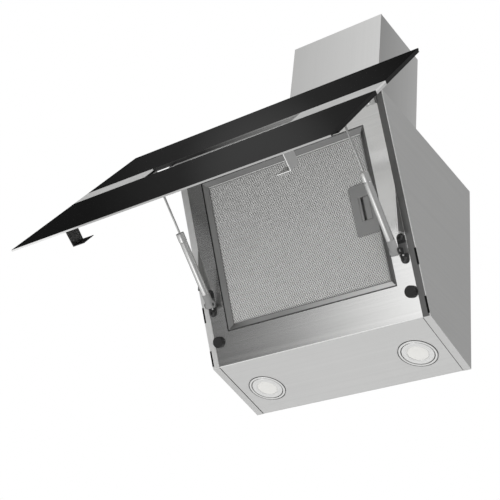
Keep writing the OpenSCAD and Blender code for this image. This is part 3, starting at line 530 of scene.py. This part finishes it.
def rounded(points, width, steps=3):
    """An outline in radius and height whose corners off the axis are rounded."""
    made = []
    count = len(points)
    for i, p in enumerate(points):
        here, before, after = Vector(p), Vector(points[i - 1]), Vector(points[(i + 1) % count])
        reach = min(width, (before - here).length * 0.45, (after - here).length * 0.45)
        if here.x < ON_AXIS or reach < SAME_POINT:
            made.append(tuple(here))
            continue
        start = here + (before - here).normalized() * reach
        end = here + (after - here).normalized() * reach
        for k in range(steps + 1):
            t = k / steps
            made.append(tuple(start * (1 - t) ** 2 + here * 2 * t * (1 - t) + end * t ** 2))
    return made


def turned(places, outlines, segments):
    """Turned shapes, all of them at each place."""
    bm = bmesh.new()
    for place in places:
        for outline in outlines:
            join(bm, lathe(outline, segments), place)
    return bm


def eased_copy(node, width, material, body, name):
    """The CAD node's own shape with its edges eased, in place of the node."""
    bm = bmesh.new()
    bm.from_mesh(nodes[node].data)
    bmesh.ops.remove_doubles(bm, verts=bm.verts, dist=2e-6)
    bmesh.ops.dissolve_limit(bm, angle_limit=radians(0.5), verts=bm.verts, edges=bm.edges)
    ease_edges(bm, width)
    bmesh.ops.recalc_face_normals(bm, faces=bm.faces)
    return piece(name, bm, material, body, [node], 50, flat_faces=True)


def recolour(made, materials, choose):
    """Gives a piece more materials, and each of its faces the one that choose numbers."""
    for material in materials:
        made.data.materials.append(MATERIALS[material])
    for polygon in made.data.polygons:
        polygon.material_index = choose(polygon)


def dress(material, *names):
    """Gives CAD nodes that are shown as they are their material."""
    for name in names:
        slots = nodes[name].data.materials
        slots.clear()
        slots.append(MATERIALS[material])


# Widths of the eased edges
FOLD_EASE, SHEET_EASE, TRIM_EASE, GLASS_EASE, CAST_EASE = 0.0009, 0.0003, 0.0004, 0.0006, 0.0008
FINE_EASE, MOUNT_EASE, END_EASE = 0.0002, 0.0005, 0.0012

# Body shell
eased_copy("right_side_panel", FOLD_EASE, "side steel", "hood_body", "right_side")
eased_copy("left_side_panel", FOLD_EASE, "far side steel", "hood_body", "left_side")
eased_copy("front_panel", SHEET_EASE, "front steel", "hood_body", "front_plate")
eased_copy("light_panel", SHEET_EASE, "underside steel", "hood_body", "underside_plate")
eased_copy("lower_chimney", SHEET_EASE, "chimney steel", "hood_body", "chimney_cover")
dress("shell steel", "top_panel", "back_panel")
dress("chimney steel", "upper_chimney")

# Flap: panes with dark side edges and long edges in painted highlight and painted shade, and the carrier
# behind them
FLAP_DOWN, FLAP_INWARD = ((ON_FLAP.to_3x3() @ Vector(way)).normalized() for way in ((0, 1, 0), (0, 0, 1)))
# Distances down the flap between which the gap and the slot lie
ABOVE_GAP, BELOW_GAP = 0.2, 0.3


def pane_face(polygon):
    """0 for the two large faces of a pane, 1 for its side edges and 2 for its long edges."""
    if abs(polygon.normal.dot(FLAP_INWARD)) >= 0.95:
        return 0
    return 2 if abs(polygon.normal.dot(FLAP_DOWN)) > 0.5 else 1


def carrier_face(polygon):
    """2 for the upper wall of the suction slot, 1 for the inner faces and the slot's lower wall."""
    facing_down, down = polygon.normal.dot(FLAP_DOWN), (polygon.center - HINGE).dot(FLAP_DOWN)
    if facing_down > 0.5 and down < BELOW_GAP:
        return 2
    lower_wall = facing_down < -0.5 and ABOVE_GAP < down < BELOW_GAP
    return int(polygon.normal.dot(FLAP_INWARD) > 0.99 or lower_wall)


# The upper pane's long edges take the slot's painted shade, and the lower pane's long edges a painted
# highlight
for level, edge in (("upper", "slot wall painted shade"), ("lower", "glass edge painted highlight")):
    pane = eased_copy(level + "_glass", GLASS_EASE, "black glass", "glass_flap", level + "_pane")
    recolour(pane, ("black edge", edge), pane_face)
eased_copy("gap_trims", TRIM_EASE, "satin trim", "glass_flap", "gap_end_trims")
tray = eased_copy("flap_carrier", TRIM_EASE, "black edge", "glass_flap", "carrier_tray")
# The carrier's inner faces and the slot's upper wall carry painted shade
recolour(tray, ("liner steel", "slot wall painted shade"), carrier_face)

# Turned ends of the trims over the sides of the carrier, and the blade along the suction slot
GAP_TOP, GAP_LOW, GLASS_IN, CARRIER_BACK = 0.214, 0.276, -0.043, -0.038
END_GAP, BLADE_GAP, BLADE_LOW = 0.0005, 0.0003, 0.0122
BLADE_RIGHT, BLADE_LEFT, STOP_LEFT = SUCTION_W / 2 - 0.0005, -0.140, -0.152
ends = [(across, (GAP_TOP + END_GAP, GAP_LOW - END_GAP), (GLASS_IN, CARRIER_BACK))
        for across in both_sides(GLASS_W / 2 - 0.0009, GLASS_W / 2 - 0.0001)]
piece("trim_ends", boxes(ON_FLAP, ends, FINE_EASE), "trim end", "glass_flap")
blade = (GAP_TOP + BLADE_GAP, GAP_TOP + BLADE_LOW), (CARRIER_BACK - 0.0006, CARRIER_BACK - 0.0001)
for name, across, material, slot in (
        ("slot_blade", (BLADE_LEFT, BLADE_RIGHT), "slot lip", "bright_trim"),
        ("slot_blade_stop", (STOP_LEFT, BLADE_LEFT), "black edge", "black_paint")):
    piece(name, boxes(ON_FLAP, [(across, *blade)]), material, "glass_flap")

# Painted shade: dark boxes in the ends of the slots in the lips
LIP_SLOTS, LIP_SLOT_LEN = (0.006, 0.112), 0.037
shades = [(across, (low, low + LIP_SLOT_LEN), (-0.0009, 0.0002))
          for across in both_sides(BODY_W / 2 - 0.0048, BODY_W / 2 - 0.0001) for low in LIP_SLOTS]
piece("lip_slot_shades", boxes(ON_FRONT, shades), "black edge", "hood_body")

# Brackets, arms and strikers; the left striker and the left gusset are given darker steel as painted shade,
# and the right gusset's edges carry a painted highlight
for side, steel in (("left", "shaded steel"), ("right", "bracket steel")):
    eased_copy("striker_" + side, SHEET_EASE, steel, "glass_flap", side + "_striker")
for side, gusset_steel in (("left", "bracket steel in painted shade"), ("right", "bracket steel")):
    for node, ease, material, slot, body in (
            ("hinge_arm", CAST_EASE, "black paint", "black_paint", "glass_flap"),
            ("strut_lug", SHEET_EASE, "zinc", "zinc_plated", "glass_flap"),
            ("hinge_bracket", SHEET_EASE, "zinc", "zinc_plated", "hood_body"),
            ("strut_gusset", FINE_EASE, gusset_steel, "brushed_steel", "hood_body"),
            ("strut_mount", MOUNT_EASE, "mount paint", "black_paint", "hood_body")):
        name = side + "_" + ("gusset" if node == "strut_gusset" else node)
        made = eased_copy(node + "_" + side, ease, material, body, name)
        # painted highlight on the right gusset's edges
        if name == "right_gusset":
            recolour(made, ("polished edge and painted highlight",), lambda polygon: int(abs(polygon.normal.x) < 0.9))

# Plain nodes
dress("circuit board", "touch_board")
dress("chrome", "hinge_pins", "motor_shaft")
dress("zinc", "chimney_bracket", "lamp_housings", "fan_housing", "fan_inlet_cover", "outlet_collar",
      "damper_rod")
dress("wheel aluminium", "impeller", "damper_flap_front", "damper_flap_rear")
dress("black paint", "motor")
dress("black rubber", "fan_feet")
dress("black plastic", "control_box", "cable_gland")

# Filter cassette
FILTER_LOW, FILTER_LEN, OPENING_W, BEVEL_W, BEVEL_D = 0.079, 0.367, 0.455, 0.014, 0.008
FILTER_HIGH, FILTER_MID = FILTER_LOW + FILTER_LEN, FILTER_LOW + FILTER_LEN / 2
WINDOW_W, WINDOW_LEN = OPENING_W - 2 * BEVEL_W, FILTER_LEN - 2 * BEVEL_W
MESH_FRONT = -SHEET - BEVEL_D
eased_copy("filter_frame", TRIM_EASE, "frame steel", "hood_body", "filter_surround")
eased_copy("filter_handle", GLASS_EASE, "handle plastic", "hood_body", "filter_grip")
eased_copy("filter_latch", GLASS_EASE, "handle plastic", "filter_catch", "grip_latch")
dress("core aluminium in painted shade", "filter_core")

# Shelf along the left wall of the handle's pocket
POCKET_LEFT, POCKET_LOW, POCKET_HIGH = WINDOW_W / 2 - 0.0393, 0.239, 0.292
SHELF_W, SHELF_GAP = 0.0055, 0.0002
shelf = boxes(ON_FRONT, [((POCKET_LEFT + 0.0001, POCKET_LEFT + SHELF_W),
                          (POCKET_LOW + SHELF_GAP, POCKET_HIGH - SHELF_GAP),
                          (MESH_FRONT - 0.0060, MESH_FRONT + 0.0006))], SHEET_EASE)
piece("grip_pocket_shelf", shelf, "handle plastic", "hood_body")

# Joint round the filter, wider on the left where it shows most
JOINT, FINE_JOINT = 0.0011, 0.0005
left, right, length = -OPENING_W / 2, OPENING_W / 2, (FILTER_LOW, FILTER_HIGH)
inner = (left + JOINT, right - FINE_JOINT)
joint = [(*strip, (-0.004, 0.0001)) for strip in (
    ((left, left + JOINT), length),
    ((right - FINE_JOINT, right), length),
    (inner, (FILTER_LOW, FILTER_LOW + FINE_JOINT)),
    (inner, (FILTER_HIGH - FINE_JOINT, FILTER_HIGH)),
)]
piece("filter_joint", boxes(ON_FRONT, joint), "black edge", "hood_body")

# Painted highlights: a bright strip along the fold between the front plate and the underside, and one along
# the folded upper edge of the mesh
FOLD_HALF, FOLD_TOP = BODY_W / 2 - 0.0188, FILTER_HIGH - BEVEL_W
fold = ((-FOLD_HALF, FOLD_HALF), (0.0002, 0.0019), (-0.0013, -0.00095))
piece("front_fold", boxes(ON_FRONT, [fold]), "polished edge and painted highlight", "hood_body")
fold = ((-WINDOW_W / 2, WINDOW_W / 2), (FOLD_TOP - 0.0020, FOLD_TOP - 0.0002),
        (MESH_FRONT - 0.0012, MESH_FRONT + 0.0002))
piece("mesh_fold", boxes(ON_FRONT, [fold], SHEET_EASE), "polished edge and painted highlight", "hood_body")


def strand_cell(half_w, half_h, strand, rise):
    """One diamond of stretched metal: four strands of ridged section round an opening."""
    bm = bmesh.new()
    shape = ((half_w, 0, 0.2), (0, half_h, -0.5), (-half_w, 0, 0.2), (0, -half_h, 1.0))
    rows = []
    for share, level in ((1, 0), (1 - strand / 2, rise), (1 - strand, 0)):
        rows.append([bm.verts.new((x * share, y * share, level + lift * rise * 0.8)) for x, y, lift in shape])
    for a, b in zip(rows, rows[1:] + rows[:1]):
        for i in range(4):
            j = (i + 1) % 4
            bm.faces.new((a[i], a[j], b[j], b[i]))
    bmesh.ops.recalc_face_normals(bm, faces=bm.faces)
    mesh = bpy.data.meshes.new("strand cell")
    bm.to_mesh(mesh)
    bm.free()
    return placed("strand cell", mesh)


def stagger_tree():
    """Lays a cell on two grids, one shifted by half a pitch, and gives the result its finish."""
    tree = bpy.data.node_groups.new("stretched mesh", "GeometryNodeTree")
    for label, kind in (("Width", "Float"), ("Length", "Float"), ("Pitch across", "Float"),
                        ("Pitch up", "Float"), ("Cell", "Object"), ("Finish", "Material")):
        tree.interface.new_socket(label, in_out="INPUT", socket_type="NodeSocket" + kind)
    tree.interface.new_socket("Mesh", in_out="OUTPUT", socket_type="NodeSocketGeometry")
    given = tree.nodes.new("NodeGroupInput").outputs
    out = tree.nodes.new("NodeGroupOutput").inputs
    shape = add(tree, "GeometryNodeObjectInfo", {"Object": given["Cell"]}).outputs["Geometry"]
    both = tree.nodes.new("GeometryNodeJoinGeometry")
    for fewer in (0.0, 1.0):
        counts, sizes = [], []
        for reach, pitch in (("Width", "Pitch across"), ("Length", "Pitch up")):
            whole = math(tree, "SUBTRACT", math(tree, "DIVIDE", given[reach], given[pitch]), fewer)
            counts.append(math(tree, "FLOOR", whole))
            sizes.append(math(tree, "MULTIPLY", math(tree, "SUBTRACT", counts[-1], 1.0), given[pitch]))
        grid = add(tree, "GeometryNodeMeshGrid", {"Size X": sizes[0], "Size Y": sizes[1],
                                                  "Vertices X": counts[0], "Vertices Y": counts[1]})
        laid = add(tree, "GeometryNodeInstanceOnPoints", {"Points": grid.outputs[0], "Instance": shape})
        tree.links.new(laid.outputs[0], both.inputs[0])
    real = add(tree, "GeometryNodeRealizeInstances", {0: both.outputs[0]})
    finish = add(tree, "GeometryNodeSetMaterial", {0: real.outputs[0], "Material": given["Finish"]})
    tree.links.new(finish.outputs[0], out[0])
    return tree


def linked(start):
    """All the vertices that edges join to those given."""
    found, stack = set(), list(start)
    while stack:
        v = stack.pop()
        if v not in found:
            found.add(v)
            stack += [e.other_vert(v) for e in v.link_edges]
    return found


def stretched_mesh():
    """Lays the cell on a staggered grid over the window, leaving the grip's place free."""
    pitch_w, pitch_h, strand, rise, overlap, margin = 0.00583, 0.00823, 0.42, 0.0010, 0.004, 0.004
    cell = strand_cell(pitch_w / 2, pitch_h / 2, strand, rise)
    base = placed("mesh base", bpy.data.meshes.new("mesh base"))
    modifier = base.modifiers.new("stretched mesh", "NODES")
    modifier.node_group = stagger_tree()
    values = {"Width": WINDOW_W + overlap, "Length": WINDOW_LEN + overlap, "Pitch across": pitch_w,
              "Pitch up": pitch_h, "Cell": cell, "Finish": MATERIALS["mesh aluminium"]}
    for socket in modifier.node_group.interface.items_tree:
        if socket.in_out == "INPUT":
            modifier[socket.identifier] = values[socket.name]
    made = applied(base)
    bpy.data.objects.remove(base)
    bpy.data.objects.remove(cell)
    bm = bmesh.new()
    bm.from_mesh(made)
    bpy.data.meshes.remove(made)
    middle = Matrix.Translation((0, FILTER_MID, MESH_FRONT - rise))
    bmesh.ops.transform(bm, matrix=ON_FRONT @ middle, verts=bm.verts)
    grip_low, grip_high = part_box("filter_handle")
    hidden = [v for v in bm.verts if grip_low.x + margin < v.co.x < grip_high.x
              and grip_low.z + margin < v.co.z < grip_high.z - margin]
    bmesh.ops.delete(bm, geom=list(linked(hidden)), context="VERTS")
    return bm


strands = stretched_mesh()
piece("stretched_mesh", strands, "mesh aluminium", "hood_body", ["filter_mesh"], smooth=50)

# Lamps: outlines in radius and height over the underside
LAMP_X, LAMP_BACK, LAMP_STEPS = 0.203, 0.1075, 96
BEZEL = rounded([(0.0246, 0.002), (0.0246, 0.0012), (0.0264, 0.0004), (0.0290, 0.0013), (0.0322, 0.0004),
                 (0.0362, 0.0006), (0.0370, 0.0018), (0.0384, 0.0018), (0.0390, 0.0001), (0.0428, 0.0001),
                 (0.0437, 0.0008), (0.0437, 0.002)], 0.0003)
LENS = rounded([(0, 0.002), (0.0245, 0.002), (0.0245, 0.0016), (0.0222, 0.0004), (0.016, -0.0002),
                (0, -0.0006)], 0.0006)
SEAL = rounded([(0.0438, 0.0018), (0.0438, 0.0004), (0.0450, 0.0004), (0.0450, 0.0018)], 0.0002)
# A dark ring at the bottom of the bezel's groove, as painted shade
PAINTED_GROOVE_SHADE = rounded([(0.0372, 0.0020), (0.0372, 0.0013), (0.0382, 0.0013), (0.0382, 0.0020)], 0.0002)
LAMPS = mirrored(ON_UNDERSIDE, LAMP_X, LAMP_BACK)
for side, place in zip(SIDES, LAMPS):
    ring, node = turned([place], [BEZEL], LAMP_STEPS), "lamp_bezel_" + side
    piece("lamp_ring_" + side, ring, "bright trim", "hood_body", [node], smooth=60)
lenses = turned(LAMPS, [LENS], LAMP_STEPS)
piece("lamp_glasses", lenses, "opal glass", "hood_body", ["lamp_lenses"], smooth=60)
# Grey seals round the lamps, with the groove rings as painted shade
seals = turned(LAMPS, [SEAL, PAINTED_GROOVE_SHADE], LAMP_STEPS)
piece("lamp_seals", seals, "seal grey and painted groove shade", "hood_body", smooth=60)

# Catch magnets
MAGNET_X, MAGNET_UP = 0.2582, 0.059
DISC = rounded([(0, 0.0074), (0.0115, 0.0074), (0.0122, 0.0079), (0.0135, 0.0071), (0.0135, -SHEET),
                (0, -SHEET)], 0.0006)
discs = turned(mirrored(ON_FRONT, MAGNET_X, MAGNET_UP), [DISC], 64)
piece("round_magnets", discs, "black rubber", "hood_body", ["catch_magnets"], smooth=60)


def pan_screw(radius, height, socket):
    """A pan head with a six-pointed star socket, its seat at height zero."""
    points, star_depth = 6, 0.22
    profile = [(radius, 0), (radius, height * 0.35), (radius * 0.86, height * 0.8), (radius * 0.6, height)]
    bm = bmesh.new()
    segments = points * 6
    rings = []
    for i in range(segments):
        a = 2 * pi * i / segments
        lobe = 1 - star_depth * (0.5 - 0.5 * cos(points * a))
        ring = profile + [(socket * lobe, height), (socket * lobe * 0.94, height * 0.4)]
        rings.append([bm.verts.new((r * cos(a), r * sin(a), z)) for r, z in ring])
    for i in range(segments):
        ring, after = rings[i], rings[(i + 1) % segments]
        for j in range(len(ring) - 1):
            bm.faces.new((ring[j], after[j], after[j + 1], ring[j + 1]))
    bm.faces.new([ring[-1] for ring in rings])
    bm.faces.new([ring[0] for ring in rings])
    bmesh.ops.recalc_face_normals(bm, faces=bm.faces)
    return bm


def screws(places, radius, height, socket):
    """The same screw head at each place."""
    bm = bmesh.new()
    for place in places:
        join(bm, pan_screw(radius, height, socket), place)
    return bm


# Screws of the strut mounts and the hinge brackets, and a small bright patch on each mount
MOUNT_T, MOUNT_X, MOUNT_SCREWS = 0.003, 0.260, (0.130, 0.178)
BRACKET_T, BRACKET_X, BRACKET_DOWN = 0.002, 0.253, 0.022
rows = zip(*(mirrored(ON_FRONT, MOUNT_X, up, MOUNT_T - SHEET) for up in MOUNT_SCREWS))
heads = screws([seat for pair in rows for seat in pair], radius=0.0075, height=0.0042, socket=0.0030)
piece("mount_screws", heads, "black screws", "hood_body", ["bracket_screws"])
windows = [(across, (0.1382, 0.1452), (0.0018, 0.0023)) for across in both_sides(0.2566, 0.2604)]
piece("mount_windows", boxes(ON_FRONT, windows, FINE_EASE), "polished edge and painted highlight", "hood_body")
seats = mirrored(ON_FRONT, BRACKET_X, SLANT - BRACKET_DOWN, BRACKET_T - SHEET)
heads = screws(seats, radius=0.0046, height=0.0024, socket=0.0019)
piece("hinge_bracket_screws", heads, "chrome", "hood_body", ["hinge_screws"])

# Gas struts: outlines in radius and height along the strut
END_LEN, TUBE_LEN, TUBE_R, COLLAR_R, BORE_R, ROD_R = 0.027, 0.159, 0.009, 0.0097, 0.0026, 0.0025
TUBE_TOP, NECK_R, ROD_LOW, ROD_TOP = END_LEN + TUBE_LEN, TUBE_R - 0.0009, END_LEN + 0.126, STRUT_LEN - 0.015
TUBE = rounded([(BORE_R, END_LEN), (TUBE_R, END_LEN), (TUBE_R, TUBE_TOP - 0.024), (NECK_R, TUBE_TOP - 0.0235),
                (NECK_R, TUBE_TOP - 0.0222), (COLLAR_R, TUBE_TOP - 0.0217), (COLLAR_R, TUBE_TOP),
                (BORE_R + 0.0004, TUBE_TOP), (BORE_R, TUBE_TOP - 0.001)], 0.0005)
ROD = rounded([(0, ROD_LOW), (ROD_R, ROD_LOW), (ROD_R, ROD_TOP), (0, ROD_TOP)], 0.0002)
for side, sign in SIDES.items():
    tube_body, rod_body = side + "_strut_tube", side + "_strut_rod"
    for name, outline, steps, finish, body, slot, node in (
            ("gas_tube_", TUBE, 64, "strut steel", tube_body, "brushed_steel", "strut_tube_"),
            ("gas_rod_", ROD, 32, "rod steel", rod_body, "chrome", "strut_rod_")):
        shape = turned([on_strut(sign)], [outline], steps)
        piece(name + side, shape, finish, body, [node + side], smooth=50)
    for node, ease, body, slot, name in (
            ("strut_end_", END_EASE, tube_body, "grey_plastic", "lower_eye_"),
            ("rod_socket_", CAST_EASE, rod_body, "black_plastic", "upper_eye_")):
        eased_copy(node + side, ease, "grey plastic", body, name + side)

# Ends of the lower pivot pins
PIN_X = 0.2620
PIN = rounded([(0, -0.0005), (0.0032, -0.0005), (0.0032, 0.0008), (0, 0.0012)], 0.0004)
outward = [Matrix.Translation((sign * PIN_X, 0, 0)) @ tilted(STRUT_LOW.y, STRUT_LOW.z, 0)
           @ Matrix.Rotation(sign * pi / 2, 4, "Y") for sign in SIDES.values()]
piece("pivot_pin_ends", turned(outward, [PIN], 32), "chrome", "hood_body", smooth=50)

# Camera
camera = placed("camera", bpy.data.cameras.new("camera"))
camera.location = (1.28448, -2.03662, -1.23763)
camera.rotation_euler = Euler((radians(123.2101), radians(-5.6642), radians(35.5293)))
camera.data.sensor_width = 36
camera.data.lens = 81.75
camera.data.shift_x, camera.data.shift_y = 0.0022, 0.0072
bpy.context.scene.camera = camera

# Floor, which only throws light back
FLOOR_CORNERS = ((-8, -2.2, -1.7), (0.8, -2.2, -1.7), (0.8, 4, -1.7), (-8, 4, -1.7))
floor_data = bpy.data.meshes.new("floor")
floor_data.from_pydata(FLOOR_CORNERS, (), [(0, 1, 2, 3)])
floor = placed("floor", floor_data)
tree, shader, where = start_material("pale floor", Roughness=0.7)
floor_shade = math(tree, "MULTIPLY_ADD", noise(tree, where, 3.0), 0.02, 0.99)
tree.links.new(shaded(tree, (0.86, 0.86, 0.86), floor_shade), shader.inputs["Base Color"])
floor_data.materials.append(MATERIALS["pale floor"])
floor.visible_camera = False


def area_light(name, place, target, size, power):
    """A softbox that looks at its target."""
    data = bpy.data.lights.new(name, "AREA")
    data.shape, data.size, data.size_y, data.energy = "RECTANGLE", size[0], size[1], power
    lamp = placed(name, data)
    lamp.visible_camera = False
    lamp.location = place
    lamp.rotation_euler = (Vector(target) - Vector(place)).to_track_quat("-Z", "Y").to_euler()


area_light("right softbox", (2.6, -1.2, 1.2), (0, -0.2, 0.2), (1.5, 1.5), 18)
area_light("low softbox", (-0.50, -1.35, -1.6), (-0.50, -1.35, 1.0), (0.9, 0.7), 2.4)

# Soft patches of the room that reflections see: the way to the middle, the cosines of the inner and the outer
# edge, and the light that the patch adds or takes
ROOM_LEVEL = 0.44
PATCHES = (
    ((-0.58, -0.78, -0.22), 0.94, 0.80, -0.362),
    ((-0.28, -0.87, -0.425), 0.992, 0.957, 1.30),
    ((-0.41, -0.885, -0.19), 0.9985, 0.991, 0.60),
    ((-0.40, -0.60, 0.65), 0.95, 0.80, 0.34),
    ((-0.525, 0.333, 0.783), 0.93, 0.72, -0.427),
    ((-0.498, 0.307, 0.811), 1.0, 0.9967, 0.061),
    ((-0.498, 0.307, 0.811), 1.0, 0.9862, 0.032),
)


def studio_world():
    """White to the eye and to matt surfaces; glossy ones see a grey room with light and dark patches."""
    world = bpy.data.worlds.new("studio")
    bpy.context.scene.world = world
    world.use_nodes = True
    tree = world.node_tree
    tree.nodes.clear()
    heading = add(tree, "ShaderNodeTexCoord").outputs["Generated"]
    light = ROOM_LEVEL
    for middle, inner, outer, gain in PATCHES:
        near = along(tree, heading, Vector(middle).normalized())
        patch = ramp(tree, near, outer, inner, gain, interpolation_type="SMOOTHSTEP")
        light = math(tree, "ADD", light, patch)
    light = math(tree, "MAXIMUM", light, 0.0)
    seen = add(tree, "ShaderNodeLightPath").outputs
    strength = 1.0
    for ray, level in (("Is Glossy Ray", light), ("Is Camera Ray", 1.0)):
        mix = add(tree, "ShaderNodeMix", {0: seen[ray], 2: strength, 3: level}, data_type="FLOAT")
        strength = mix.outputs[0]
    shader = add(tree, "ShaderNodeBackground", {"Color": (1, 1, 1, 1), "Strength": strength})
    tree.links.new(shader.outputs[0], add(tree, "ShaderNodeOutputWorld").inputs[0])


studio_world()
bpy.context.scene.view_settings.view_transform = "Standard"
